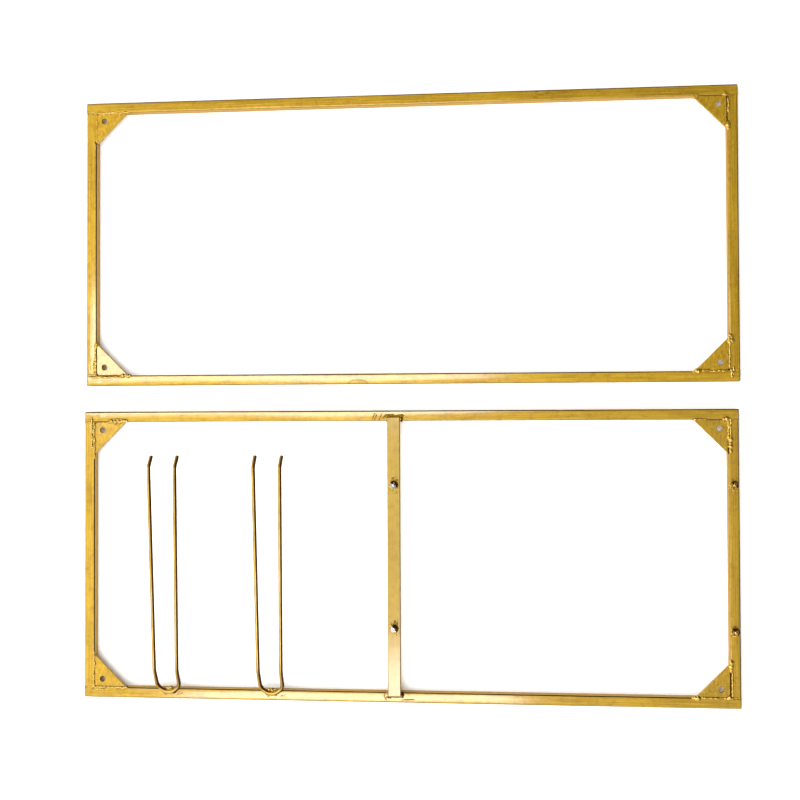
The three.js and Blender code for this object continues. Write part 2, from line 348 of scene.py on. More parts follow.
def gold_wire(name):
    """Glossy gold lacquer on drawn wire, with painted shade in brown on its right side and underneath."""
    n = Nodes(bpy.data.materials.new(name))
    even = n.place((1, 1, 1))
    lines = n.noise(n.place((1400, 30, 1400)), 1.0, 3, 0.6)
    cloud = n.noise(even, 60, 3)
    upward, away = n.facing((1, 0))
    tone = n.mix(n.ramp(cloud, 0.35, 0.7), WIRE_GOLD, WIRE_DEEP)
    tone = n.mix(n.ramp(lines, 0.5, 0.8, 0, 0.4), tone, WIRE_PALE)
    # Painted shade: brown on the right side and on the underside.
    tone = n.mix(n.ramp(away, 0.06, 0.30), tone, WIRE_SHADE_BROWN)
    tone = n.mix(n.ramp(upward, 0.25, -0.10, 0, 0.8), tone, WIRE_SHADE_BROWN)
    normal = n.bump(lines, 0.03 * MM, 0.35)
    return n.shade({
        "Base Color": tone,
        "Roughness": n.ramp(lines, 0.3, 0.7, 0.26, 0.38),
        "Normal": n.bump(n.noise(even, 1100, 2), 0.04 * MM, 0.25, normal),
        "Metallic": 0.9,
        "Specular Tint": GRAZED_BROWN,
        "Coat Weight": 0.05,
        "Coat Roughness": 0.10,
        "Coat IOR": 3.0,
    })


ZINC_PALE = rgb(0.72, 0.72, 0.69)
ZINC_DARK = rgb(0.50, 0.51, 0.52)


def zinc(name):
    """Bright zinc plate with fine turning marks and a faint bluish bloom."""
    n = Nodes(bpy.data.materials.new(name))
    even = n.place((1, 1, 1))
    cloud = n.noise(even, 420, 3)
    fine = n.noise(even, 3800, 3, 0.7)
    return n.shade({
        "Base Color": n.mix(cloud, ZINC_PALE, ZINC_DARK),
        "Roughness": n.ramp(fine, 0.3, 0.7, 0.12, 0.24),
        "Normal": n.bump(fine, 0.02 * MM, 0.4),
        "Metallic": 1.0,
    })


# Scale of the grinding lines along each axis: a low number draws them out.
GRAIN_X = (14, 900, 900)
GRAIN_Y = (900, 14, 900)
GRAIN_PLATE = (420, 150, 420)
GRAIN_WELD = (300, 300, 300)
CREAM = {"plain": 0.0, "rack": 0.15}
BAR_CREAM = 0.65


def paints(kind, grain):
    """One kind of gold paint for each of the two frames."""
    return {prefix: gold_paint(f"gold_paint_{prefix}_{kind}", grain, CREAM[prefix]) for prefix in BODIES}


PAINT_X = paints("x", GRAIN_X)
PAINT_Y = paints("y", GRAIN_Y)
PAINT_PLATE = paints("plates", GRAIN_PLATE)
PAINT_BAR = gold_paint("gold_paint_bar", GRAIN_Y, BAR_CREAM)
PAINT_WELD = gold_paint("gold_paint_welds", GRAIN_WELD, weld=True)
# Painted shade: near-black seams, gaps and shadows beside the welds, the bar's ends and the nuts.
SHADE_DARK_FINISH = shade_and_heat_finish("gold_paint_shade_dark", SHADE_BLACK, BURNT_AND_SHADE_BROWN)
# Heat-browned paint on grinding marks and the burr; also painted shade at left gussets, bar ends and nuts.
HEAT_AND_SHADE_FINISH = shade_and_heat_finish("gold_paint_heat_and_shade", HEAT_AND_SHADE_BROWN, HEAT_AND_SHADE_GOLD)
WIRE_FINISH = gold_wire("gold_wire_finish")
ZINC_FINISH = zinc("zinc_finish")

# ---- Rails and end plates ----

DISTORTED_END = 42 * MM  # how far from a corner the welding heat has moved the tube's faces
DISTORTION = 0.16 * MM
FACE_CROWN = 0.14 * MM
FACE_LEAN = 0.16 * MM
RAIL_STEP = 12 * MM
END_FINE = (36 * MM, 1.5 * MM)  # (reach, step) of the finer rings at a rail's ends and at the half-moon
DENT_FINE = (13 * MM, 0.5 * MM)
DENT_CENTRE = -53 * MM  # ground flat on the plain frame's front rail
DENT_HALF_LENGTH = 11.5 * MM
DENT_REACH = 4.8 * MM
DENT_DEPTH = 0.05 * MM


def weld_distortion(point, ends):
    """Small rises and falls of the top face near the welded corners."""
    nearest = min((point - end).length for end in ends)
    share = max(0.0, 1 - nearest / DISTORTED_END)
    ripple = noise.noise(point * 190) + 0.5 * noise.noise(point * 420)
    return Vector((0, 0, DISTORTION * share * share * ripple))


def rolled_face(point, centre, axis):
    """The tube's top face is a little crowned, and leans to and fro along the rail as it was rolled."""
    along, across = (point.x, point.y - centre.y) if axis == 0 else (point.y, point.x - centre.x)
    share = across / (6 * MM)
    lean = FACE_LEAN * noise.noise(Vector((along * 6.0, centre.x * 9, centre.y * 9)))
    return Vector((0, 0, lean * share - FACE_CROWN * share * share))


def ground_flat(point, edge):
    """Half-moon that a grinding disc left on the outer edge of the top face."""
    along = (point.x - DENT_CENTRE) / DENT_HALF_LENGTH
    inward = (point.y - edge) / DENT_REACH
    depth = DENT_DEPTH * (1 - along ** 4 - inward)
    return Vector((0, 0, -max(0.0, depth)))


def rail_rings(low, high, axis, fine):
    """Rings of a hollow square tube that fills a box along one axis: outside there, inside back."""
    centre = (low + high) / 2
    length = (high - low)[axis]
    size = (high - low).z
    along, side = (ALONG_X, ALONG_Y) if axis == 0 else (ALONG_Y, ALONG_X)

    def ring(place, inset, radius):
        outline = rounded_rectangle(size - 2 * inset, size - 2 * inset, radius, 8, 10)
        return [centre + along * place + side * p.x + UP * p.y for p in outline]

    rings = []
    for place in stations(length, RAIL_STEP, fine):
        from_end = length / 2 - abs(place)
        if from_end < 1e-6:
            rings.append(ring(place, TUBE_END_ROUND, TUBE_EDGE_RADIUS))
            if place < 0:
                rings.append(ring(place + TUBE_END_ROUND, 0, TUBE_EDGE_RADIUS))
            else:
                rings.insert(-1, ring(place - TUBE_END_ROUND, 0, TUBE_EDGE_RADIUS))
        else:
            rings.append(ring(place, 0, TUBE_EDGE_RADIUS))
    inner_radius = TUBE_EDGE_RADIUS - 0.6 * TUBE_WALL
    inner = [ring(sign * length / 2, TUBE_WALL, inner_radius) for sign in (1, -1)]
    return rings + inner


def build_rail(prefix, place, dent=False):
    """A hollow rail whose top face is crowned, leans, and is a little distorted near the welds."""
    node = f"{prefix}_{place}_rail"
    low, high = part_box(node)
    axis = 0 if place in DEPTHS else 1
    half = (high - low)[axis] / 2
    fine = [(sign * half, *END_FINE) for sign in (-1, 1)]
    if dent:
        fine.append((DENT_CENTRE - (low.x + high.x) / 2, *DENT_FINE))
    bm = bmesh.new()
    loft_into(bm, rail_rings(low, high, axis, fine), ring_closed=True)
    corners = frame_corners(prefix)
    top = high.z - 0.6 * TUBE_EDGE_RADIUS
    for vertex in bm.verts:
        if vertex.co.z > top:
            lift = rolled_face(vertex.co, (low + high) / 2, axis)
            lift += weld_distortion(vertex.co, corners)
            if dent:
                lift += ground_flat(vertex.co, low.y)
            vertex.co += lift
    obj = add_object(f"{node}_tube", mesh_from(bm, node), 50)
    finish_piece(obj, BODIES[prefix], "gold_paint", (PAINT_X if axis == 0 else PAINT_Y)[prefix], node)


def frame_corners(prefix):
    """The four points on the top faces where the rails of a frame meet."""
    left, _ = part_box(f"{prefix}_left_rail")
    _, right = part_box(f"{prefix}_right_rail")
    front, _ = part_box(f"{prefix}_front_rail")
    _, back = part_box(f"{prefix}_back_rail")
    size = right.z
    xs = (left.x + size, right.x - size)
    ys = (front.y + size, back.y - size)
    return [Vector((x, y, size)) for x in xs for y in ys]


# Rings of an end plate from its inner face to its crowned middle: (inwards from the end, inset) in
# millimetres.
END_PLATE_PROFILE = ((2.0, 0), (0.3, 0), (0.12, 0.05), (0.03, 0.2), (0.0, 0.5), (-0.02, 2.4))
END_PLATE_CORNER = 0.5 * MM


def build_end_plate(prefix, depth, hand):
    """Plate let into the tube's end, its rim rounded over and its face a little crowned."""
    node = f"{prefix}_end_plate_{depth}_{hand}"
    low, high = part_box(node)
    sign = HANDS[hand]
    face = high.x if sign > 0 else low.x
    centre = Vector((face, (low.y + high.y) / 2, (low.z + high.z) / 2))
    side = (high - low).z + GAP
    rings = []
    for inward, inset in END_PLATE_PROFILE:
        width = side - 2 * inset * MM
        outline = rounded_rectangle(width, width, END_PLATE_CORNER, 5, 3)
        offset = Vector((-sign * inward * MM, 0, 0))
        rings.append([centre + offset + Vector((0, p.x, p.y)) for p in outline])
    obj = loft(f"{node}_cover", rings)
    finish_piece(obj, BODIES[prefix], "gold_paint", PAINT_PLATE[prefix], node)


# ---- Plates: gussets and the flat bar ----


def edge_profile(thickness, edge_round, steps=4):
    """(height, inset) pairs up the rounded edge of a plate, from its underside to its top."""
    lower = []
    for step in range(steps + 1):
        angle = step / steps * math.pi / 2
        lower.append((edge_round * (1 - math.sin(angle)), edge_round * (1 - math.cos(angle))))
    lower.append((0.0, edge_round + FLAT_MARGIN))
    lower.reverse()
    upper = [(thickness - height, inset) for height, inset in reversed(lower)]
    return lower + upper


def inset_outline(points, inset):
    """The outline moved inwards by the same distance on every side."""
    moved = []
    count = len(points)
    for i, point in enumerate(points):
        before = (point - points[i - 1]).normalized()
        after = (points[(i + 1) % count] - point).normalized()
        normal = Vector((-before.y - after.y, before.x + after.x))
        stretch = max(0.35, 1 + before.dot(after))
        moved.append(point + normal * (inset / stretch))
    return moved


def plate_into(bm, outline, holes, base, thickness, edge_round):
    """A flat plate with rounded edges, from an anticlockwise outline and clockwise holes."""
    faces = {"low": [], "high": []}
    for loop in [outline, *holes]:
        rows = []
        for height, inset in edge_profile(thickness, edge_round):
            ring = inset_outline(loop, inset)
            rows.append([bm.verts.new((p.x, p.y, base + height)) for p in ring])
        for low, high in zip(rows, rows[1:]):
            for i in range(len(low)):
                j = (i + 1) % len(low)
                bm.faces.new((low[i], low[j], high[j], high[i]))
        for key, row in (("low", rows[0]), ("high", rows[-1])):
            faces[key] += [bm.edges.get((row[i - 1], row[i])) for i in range(len(row))]
    for edges in faces.values():
        bmesh.ops.triangle_fill(bm, edges=edges, use_beauty=True)


def circle(centre, radius, sides, clockwise=False):
    """Points round a circle in the plane of the floor."""
    turn = -1 if clockwise else 1
    angles = [turn * 2 * math.pi * i / sides for i in range(sides)]
    return [centre + radius * Vector((math.cos(a), math.sin(a))) for a in angles]


def build_gusset(prefix, depth, hand):
    """Sheared triangular plate with a drilled hole, let into the corner of the frame."""
    node = f"{prefix}_gusset_{depth}_{hand}"
    low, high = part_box(node)
    side_x, side_y = HANDS[hand], DEPTHS[depth]
    corner = Vector((high.x if side_x > 0 else low.x, high.y if side_y > 0 else low.y))
    leg = high.x - low.x
    tip, clip = GUSSET_TIP, GUSSET_CLIP
    shape = [(clip, 0), (leg, 0), (leg, tip), (tip, leg), (0, leg), (0, clip)]
    outline = [corner - Vector((x * side_x, y * side_y)) for x, y in shape]
    if side_x * side_y < 0:
        outline.reverse()
    inset = GUSSET_HOLE_INSET - GAP
    centre = corner - Vector((inset * side_x, inset * side_y))
    bm = bmesh.new()
    hole = circle(centre, GUSSET_HOLE_RADIUS, 48, clockwise=True)
    plate_into(bm, outline, [hole], low.z, high.z - low.z, PLATE_EDGE_ROUND)
    obj = add_object(f"{node}_plate", mesh_from(bm, node), 30)
    finish_piece(obj, BODIES[prefix], "gold_paint", PAINT_PLATE[prefix], node)


def build_centre_bar():
    """Flat bar with rounded corners and softened edges."""
    node = "rack_centre_bar"
    low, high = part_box(node)
    size, centre = high - low, (low + high) / 2
    outline = [Vector((centre.x, centre.y)) + p
               for p in rounded_rectangle(size.x, size.y, BAR_CORNER_RADIUS, 8, 1)]
    bm = bmesh.new()
    plate_into(bm, outline, [], low.z, size.z, BAR_EDGE_ROUND)
    obj = add_object("rack_centre_bar_flat", mesh_from(bm, node), 30)
    finish_piece(obj, "rack_frame", "gold_paint", PAINT_BAR, node)


# ---- Wire loops ----

LOOP_BEND_RADIUS = 13 * MM
LOOP_TIP_SPACING = 30.6 * MM
LOOP_TOE = 5 * MM
LOOP_KNEE_REACH = 28 * MM
LOOP_KNEE_RISE = 13 * MM
LOOP_LEG_RISE = 15 * MM
LOOP_TIP_REACH = 12 * MM
LOOP_TIP_DROP = 10.5 * MM
LOOP_FOLD_RADIUS = 8 * MM
WIRE_SIDES = 28
WIRE_END_ROUND = 0.45 * MM
WIRE_END_STEPS = 4
LOOP_BEND_STEPS = 36
LOOP_LEG_STEPS = 40


def rounded_path(corners, radius, steps=10):
    """Points along straight lines through the corners, with an arc in place of each inner one."""
    points = [corners[0]]
    for before, corner, after in zip(corners, corners[1:], corners[2:]):
        inward = (corner - before).normalized()
        outward = (after - corner).normalized()
        turn = math.atan2(inward.cross(outward), inward.dot(outward))
        start = corner - inward * radius * math.tan(abs(turn) / 2)
        centre = start + Vector((-inward.y, inward.x)) * math.copysign(radius, turn)
        for step in range(steps + 1):
            points.append(centre + Matrix.Rotation(turn * step / steps, 2) @ (start - centre))
    return points + [corners[-1]]


def at_length(points, lengths, length):
    """The point that far along a line, given the length up to each of its points."""
    for i in range(1, len(points)):
        if lengths[i] >= length - 1e-9:
            share = (length - lengths[i - 1]) / (lengths[i] - lengths[i - 1])
            return points[i - 1].lerp(points[i], share)
    return points[-1]


def loop_line(reach):
    """Centre line of a wire loop: a flat U, folded across at the toe, the knee and the tips."""
    top = LOOP_KNEE_RISE + LOOP_LEG_RISE
    folds = rounded_path([
        Vector((0, 0)),
        Vector((LOOP_TOE, 0)),
        Vector((LOOP_KNEE_REACH, LOOP_KNEE_RISE)),
        Vector((reach - LOOP_TIP_REACH, top)),
        Vector((reach, top - LOOP_TIP_DROP)),
    ], LOOP_FOLD_RADIUS)
    lengths = [0.0]
    for first, second in zip(folds, folds[1:]):
        lengths.append(lengths[-1] + (second - first).length)
    total = lengths[-1]
    flare = math.atan((LOOP_TIP_SPACING / 2 - LOOP_BEND_RADIUS) / (total - LOOP_BEND_RADIUS))
    flat = []
    for step in range(LOOP_BEND_STEPS + 1):
        angle = -math.pi / 2 + (math.pi / 2 - flare) * step / LOOP_BEND_STEPS
        flat.append(LOOP_BEND_RADIUS * Vector((math.cos(angle), 1 + math.sin(angle))))
    start = flat[-1].copy()
    leg_places = [s for s in lengths if s > start.y + 1 * MM]
    leg_places += [start.y + (total - start.y) * i / LOOP_LEG_STEPS for i in range(1, LOOP_LEG_STEPS)]
    for place in sorted(set(leg_places)):
        flat.append(Vector((start.x + (place - start.y) * math.tan(flare), place)))
    half = []
    for point in flat:
        folded = at_length(folds, lengths, point.y)
        half.append(Vector((point.x, folded.x, folded.y)))
    mirrored = [Vector((-p.x, p.y, p.z)) for p in reversed(half[1:])]
    return mirrored + half


def swept_rings(line, radius, sides, end_round):
    """Rings of a round wire along a line, turned as little as possible from one to the next."""
    tangents = []
    for i in range(len(line)):
        ahead = line[min(i + 1, len(line) - 1)] - line[max(i - 1, 0)]
        tangents.append(ahead.normalized())
    across = tangents[0].cross(UP).normalized()
    frames = []
    for i, tangent in enumerate(tangents):
        if i:
            across = (across - tangent * across.dot(tangent)).normalized()
        frames.append((line[i], tangent, across.copy()))

    def ring(centre, tangent, side, size):
        other = tangent.cross(side)
        angles = [2 * math.pi * k / sides for k in range(sides)]
        return [centre + size * (math.cos(a) * side + math.sin(a) * other) for a in angles]

    def rounded_end(end, inwards):
        centre, tangent, side = frames[end]
        rings = []
        for step in range(WIRE_END_STEPS + 1):
            angle = step / WIRE_END_STEPS * math.pi / 2
            back = end_round * (1 - math.cos(angle))
            size = radius - end_round * (1 - math.sin(angle))
            rings.append(ring(centre + inwards * tangent * back, tangent, side, size))
        return rings

    along = [ring(centre, tangent, side, radius) for centre, tangent, side in frames[1:-1]]
    return rounded_end(0, 1) + along + rounded_end(-1, -1)[::-1]


def build_wire_loop(hand):
    """Wire loop that rests on the front rail and rises towards the back."""
    node = f"rack_wire_loop_{hand}"
    low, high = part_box(node)
    tip_drop = LOOP_TIP_DROP / math.hypot(LOOP_TIP_DROP, LOOP_TIP_REACH)
    reach = high.y - low.y - WIRE_RADIUS * (1 + tip_drop)
    origin = Vector(((low.x + high.x) / 2, low.y + WIRE_RADIUS, low.z + WIRE_RADIUS))
    line = [origin + p for p in loop_line(reach)]
    obj = loft(f"{node}_wire", swept_rings(line, WIRE_RADIUS, WIRE_SIDES, WIRE_END_ROUND))
    finish_piece(obj, "rack_frame", "gold_wire", WIRE_FINISH, node)


# ---- Studs and nuts ----


def polar(centre, size, angle, z):
    """The point at a distance and an angle round an upright axis, at a height."""
    return Vector((centre.x + size * math.cos(angle), centre.y + size * math.sin(angle), z))


def build_stud(name, material, slot):
    """Round stud with a rolled thread and a chamfered end."""
    node = f"rack_stud_{name}"
    low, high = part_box(node)
    centre = (low + high) / 2
    radius, height = (high - low).x / 2, (high - low).z
    sides, per_pitch = 40, 8
    rings = []
    count = round(height / THREAD_PITCH * per_pitch)
    for level in range(count + 1):
        z = height * level / count
        ring = []
        for k in range(sides):
            angle = 2 * math.pi * k / sides
            phase = (z / THREAD_PITCH - k / sides) % 1.0
            groove = THREAD_DEPTH * (1 - abs(2 * phase - 1)) ** 1.2
            size = min(radius - groove, radius - max(0.0, z - (height - STUD_CHAMFER)))
            ring.append(polar(centre, size, angle, low.z + z))
        rings.append(ring)
    obj = loft(f"{node}_thread", rings, sharp_degrees=60)
    finish_piece(obj, "rack_frame", slot, material, node)


def build_nut(name, material, slot, turn):
    """Hexagon nut, both faces chamfered at 30 degrees, its corners softened and its bore countersunk."""
    node = f"rack_nut_{name}"
    low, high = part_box(node)
    centre = (low + high) / 2
    flat, height = (high - low).y / 2, (high - low).z
    sides, levels = 96, 14
    outer = []
    for level in range(levels + 1):
        z = height * level / levels
        cone = flat * 0.99 + min(z, height - z) / math.tan(math.radians(30))
        ring = []
        for k in range(sides):
            angle = 2 * math.pi * k / sides
            in_side = (angle % (math.pi / 3)) - math.pi / 6
            hexagon = flat / max(math.cos(in_side), math.cos(math.pi / 6 - 0.06))
            size = min(hexagon, cone)
            ring.append(polar(centre, size, angle + turn, low.z + z))
        outer.append(ring)

    def bored(z, size):
        return [polar(centre, size, 2 * math.pi * k / sides + turn, low.z + z) for k in range(sides)]

    bore, wide = NUT_BORE_RADIUS, NUT_BORE_RADIUS + NUT_SINK
    inner = [bored(height, wide), bored(height - NUT_SINK, bore), bored(NUT_SINK, bore), bored(0, wide)]
    obj = loft(f"{node}_hexagon", outer + inner, ring_closed=True, sharp_degrees=28)
    finish_piece(obj, "rack_frame", slot, material, node)


# ---- Welds ----


def lump_into(bm, rng, point, radii, axes, grain=0.12):
    """One blob of weld metal: a stretched, slightly lumpy ball with the given radii along three axes."""
    made = bmesh.ops.create_icosphere(bm, subdivisions=3, radius=1)
    seed = Vector((rng.uniform(0, 50), rng.uniform(0, 50), rng.uniform(0, 50)))
    for vertex in made["verts"]:
        swell = 1 + grain * noise.noise(vertex.co * 2.2 + seed)
        offset = [radius * swell * share for radius, share in zip(radii, vertex.co)]
        vertex.co = point + sum((axis * share for axis, share in zip(axes, offset)), Vector())


def bead_into(bm, rng, start, end, normal, width, height, pitch=1.3 * MM, wander=0.3 * MM, uneven=0.2):
    """A run of weld between two points, laid as a row of overlapping lumps half sunk in the surface."""
    along = (end - start).normalized()
    across = along.cross(normal).normalized()
    length = (end - start).length
    count = max(2, round(length / pitch))
    for i in range(count + 1):
        swell = 1 + rng.uniform(-uneven, uneven)
        taper = 0.72 if i in (0, count) else 1.0
        centre = start + along * (length * i / count + rng.uniform(-0.2, 0.2) * pitch)
        centre += across * rng.uniform(-wander, wander)
        radii = (1.15 * pitch * swell, width / 2 * swell * taper, height * swell * taper)
        lump_into(bm, rng, centre, radii, (along, across, normal))


def bead_form(width, height, pitch, uneven, wander):
    """How a bead is laid, with the lengths in millimetres."""
    lengths = {"width": width, "height": height, "pitch": pitch, "wander": wander}
    return {**{key: length * MM for key, length in lengths.items()}, "uneven": uneven}


BEADS = {
    "tack": bead_form(4.8, 1.9, 1.9, 0.35, 0.8),
    "run": bead_form(2.6, 1.3, 2.4, 0.2, 0.35),
    "flush": bead_form(3.0, 0.26, 1.5, 0.25, 0.6),
    # Painted shade: a low dark strip in a seam or beside a part.
    "scorch": bead_form(1.7, 0.30, 1.2, 0.3, 0.25),
    "fillet": bead_form(3.0, 1.7, 1.6, 0.3, 0.4),
    "pool": bead_form(4.6, 1.2, 2.0, 0.3, 0.6),
    "seam": bead_form(1.7, 0.6, 1.5, 0.25, 0.2),
    # Painted shadow: a dark lump beside a part.
    "shade_lump": bead_form(2.8, 1.9, 1.4, 0.3, 0.3),
    "burr": bead_form(0.85, 0.34, 0.7, 0.1, 0.03),
    "stroke": bead_form(1.5, 0.24, 0.9, 0.25, 0.08),
}


def lay(bm, rng, kind, start, end, normal=UP):
    """A bead of one of the kinds above between two points."""
    bead_into(bm, rng, Vector(start), Vector(end), normal, **BEADS[kind])


def spatter_into(bm, rng, point, size):
    """A droplet of spatter: a small squat dome stuck to an upward face."""
    radii = (size * rng.uniform(0.8, 1.3), size * rng.uniform(0.8, 1.3), size * rng.uniform(0.5, 0.8))
    lump_into(bm, rng, point, radii, (ALONG_X, ALONG_Y, UP))


def fuse(bm, name, voxel):
    """The lumps grown together into one closed skin, as one object."""
    source = bpy.data.objects.new(name, mesh_from(bm, name))
    bpy.context.scene.collection.objects.link(source)
    remesh = source.modifiers.new("fuse", "REMESH")
    remesh.mode = "VOXEL"
    remesh.voxel_size = voxel
    smooth = source.modifiers.new("soften", "SMOOTH")
    smooth.factor = 0.5
    smooth.iterations = 2
    graph = bpy.context.evaluated_depsgraph_get()
    mesh = bpy.data.meshes.new_from_object(source.evaluated_get(graph))
    old = source.data
    bpy.data.objects.remove(source)
    bpy.data.meshes.remove(old)
    return add_object(name, mesh, 80)


def add_welds(name, prefix, build, material=PAINT_WELD, voxel=0.24 * MM):
    """An object of weld metal, filled by the given function."""
    bm = bmesh.new()
    build(bm, random.Random(name))
    finish_piece(fuse(bm, name, voxel), BODIES[prefix], "gold_paint", material)


def build_joint_weld(prefix, depth, hand):
    """Welds round the butt joint of an end rail against a long rail: dressed flat, but raised inside."""
    low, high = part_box(f"{prefix}_{hand}_rail")
    side_x, side_y = HANDS[hand], DEPTHS[depth]
    joint = (high.y if side_y > 0 else low.y) + side_y * GAP / 2
    outer = high.x if side_x > 0 else low.x
    inner = low.x if side_x > 0 else high.x
    inset = 0.9 * MM * side_x
    face = outer - 0.25 * MM * side_x
    into_frame = Vector((-side_x, -side_y, 0)).normalized()

    def build(bm, rng):
        for z, normal in ((high.z - 0.08 * MM, UP), (low.z + 0.3 * MM, -UP)):
            start, end = Vector((outer - inset, joint, z)), Vector((inner + inset, joint, z))
            bead_into(bm, rng, start, end, normal, 2.2 * MM, 0.22 * MM, wander=0.4 * MM, uneven=0.3)
        start, end = Vector((face, joint, low.z + 2.2 * MM)), Vector((face, joint, high.z - 1.8 * MM))
        bead_into(bm, rng, start, end, side_x * ALONG_X, 2.6 * MM, 0.25 * MM, uneven=0.1)
        start, end = Vector((inner, joint, low.z + 2.4 * MM)), Vector((inner, joint, high.z - 3.8 * MM))
        bead_into(bm, rng, start, end, into_frame, 3.0 * MM, 1.1 * MM)

    add_welds(f"{prefix}_joint_weld_{depth}_{hand}", prefix, build, PAINT_PLATE[prefix])


# Welds of each gusset as (seam, from, to, aside, kind). A seam runs along the rail from the frame's
# corner at 0 to the gusset's tip at 1: "x" on the front or back rail, "y" on the left or right rail.
# aside is how far the bead lies from the seam towards the rail, in millimetres.
GUSSET_WELDS = {
    ("plain", "back", "left"): [
        ("y", 0.0, 0.94, 0.2, "flush"), ("y", 0.96, 1.06, 1.6, "run"),
        ("x", 0.84, 1.02, 0.2, "run"), ("x", 0.0, 0.84, 0.1, "flush"), ("x", 0.2, 0.6, 0.5, "seam")],
    ("plain", "back", "right"): [
        ("x", -0.02, 0.10, 0.4, "tack"), ("x", 0.84, 1.04, 0.3, "flush"), ("y", 0.84, 1.04, 0.8, "tack"),
        ("y", 0.06, 0.84, 0.1, "scorch"), ("y", 0.10, 0.50, 1.6, "run")],
    ("plain", "front", "left"): [
        ("y", 0.90, 1.08, 0.4, "tack"), ("y", 0.04, 0.88, 1.2, "run"), ("y", 0.10, 0.40, 3.2, "run"),
        ("x", 0.84, 1.10, 0.6, "tack"), ("x", 0.06, 0.80, 0.1, "scorch"), ("x", -0.20, 0.16, 2.2, "flush"),
        ("x", 0.20, 0.80, 2.2, "run")],
    ("plain", "front", "right"): [
        ("y", 0.84, 1.14, 0.6, "tack"), ("y", 0.88, 1.08, 3.6, "tack"), ("y", 0.12, 0.80, 0.7, "run"),
        ("y", -0.16, 0.02, 2.4, "tack"), ("y", -0.12, 0.10, 4.8, "run"), ("y", 0.02, 0.10, 0.4, "scorch"),
        ("x", 0.88, 1.08, 0.4, "tack"), ("x", 0.02, 0.84, 0.0, "run")],
    ("rack", "back", "left"): [
        ("x", -0.04, 0.62, 0.2, "scorch"), ("x", 0.52, 1.04, 0.8, "tack"), ("y", 0.02, 1.12, 0.6, "run"),
        ("y", -0.10, 0.92, 3.4, "run"), ("x", 0.5, 0.95, 3.0, "run")],
    ("rack", "back", "right"): [
        ("x", 0.70, 1.02, 0.6, "run"), ("x", -0.02, 0.10, 0.6, "tack"), ("y", -0.02, 0.62, 0.5, "run"),
        ("y", 0.00, 0.54, 3.0, "run"), ("y", 0.56, 0.98, 2.4, "tack"), ("y", 0.60, 1.04, 0.2, "scorch")],
    ("rack", "front", "left"): [
        ("y", 0.06, 1.08, 0.8, "run"), ("y", 0.68, 0.84, 0.9, "tack"), ("x", 0.02, 0.98, 0.0, "run"),
        ("x", -0.04, 0.30, 2.4, "run"), ("x", 0.92, 1.04, 0.2, "tack")],
    ("rack", "front", "right"): [
        ("y", 0.10, 0.78, 0.6, "scorch"), ("y", 0.04, 0.76, 2.6, "run"), ("y", 0.84, 1.14, 1.4, "tack"),
        ("y", 0.86, 1.02, 0.2, "scorch"), ("x", 0.92, 1.12, 0.8, "tack"), ("x", 0.10, 0.88, 0.3, "run"),
        ("x", -0.04, 0.12, 0.4, "tack")],
}


def build_gusset_weld(prefix, depth, hand):
    """Tacks and runs of weld along the two seams of a gusset, and painted shade in the seams between them.
    """
    low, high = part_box(f"{prefix}_gusset_{depth}_{hand}")
    side_x, side_y = HANDS[hand], DEPTHS[depth]
    corner = Vector((high.x if side_x > 0 else low.x, high.y if side_y > 0 else low.y, high.z))
    corner += Vector((side_x, side_y, 0)) * GAP / 2
    leg = high.x - low.x
    directions = {"x": Vector((-side_x, 0, 0)), "y": Vector((0, -side_y, 0))}

    def build(bm, rng, kinds):
        for seam, start, end, aside, kind in GUSSET_WELDS[prefix, depth, hand]:
            if kind not in kinds:
                continue
            along, inward = directions[seam], directions["y" if seam == "x" else "x"]
            base = corner - inward * aside * MM - UP * 0.12 * MM
            lay(bm, rng, kind, base + along * leg * start, base + along * leg * end)
            for _ in range(3 if kind == "tack" else 0):
                place = rng.uniform(start - 0.1, end + 0.1)
                point = corner + along * leg * place - inward * rng.uniform(1.5, 6.5) * MM
                spatter_into(bm, rng, point, rng.uniform(0.2, 0.45) * MM)

    layers = (
        ("weld", ("tack", "run", "seam"), PAINT_WELD),
        ("filler", ("flush",), PAINT_PLATE[prefix]),
        # Painted shade in the seams' gaps, near-black on the right and browner on the left.
        ("scorch", ("scorch",), SHADE_DARK_FINISH if side_x > 0 else HEAT_AND_SHADE_FINISH),
    )
    for layer, kinds, material in layers:
        if any(weld[-1] in kinds for weld in GUSSET_WELDS[prefix, depth, hand]):
            name = f"{prefix}_gusset_{layer}_{depth}_{hand}"
            add_welds(name, prefix, lambda bm, rng: build(bm, rng, kinds), material)


def build_burr():
    """Thin dark burr round the half-moon that the grinding disc left on the plain frame's front rail."""
    low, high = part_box("plain_front_rail")
    steps = 22

    def place(step):
        share = 2 * step / steps - 1
        inward = max(DENT_REACH * (1 - share ** 4), 0.9 * MM)
        return Vector((DENT_CENTRE + DENT_HALF_LENGTH * share, low.y + inward, high.z - 0.08 * MM))

    def build(bm, rng):
        for step in range(steps):
            lay(bm, rng, "burr", place(step), place(step + 1))

    add_welds("plain_front_burr", "plain", build, HEAT_AND_SHADE_FINISH, voxel=0.14 * MM)


# Strokes of the grinding disc beside both ends of the flat bar and on the plain frame's back rail:
# (start, end) in millimetres, from the middle of the bar's end or of the rail.
GRINDING_STROKES = {
    "bar_back": [
        ((-25, -3), (-21.5, 4.5)), ((-22, -3.5), (-19.5, 3)),
        ((-17, -3), (-13.5, 4)), ((-12.5, -1), (-9, 3))],
    "bar_front": [
        ((-11, 3.5), (-12, -0.5)), ((-12, -0.5), (-9.5, -4)), ((9, -4), (22, -3.5))],
    "plain_back": [
        ((151, 4), (156, 4.5)), ((153, 1), (160, 0)), ((149, -2), (153, -3)), ((163, 2), (168, 3))],
}
STROKE_SUNK = 0.05  # in millimetres


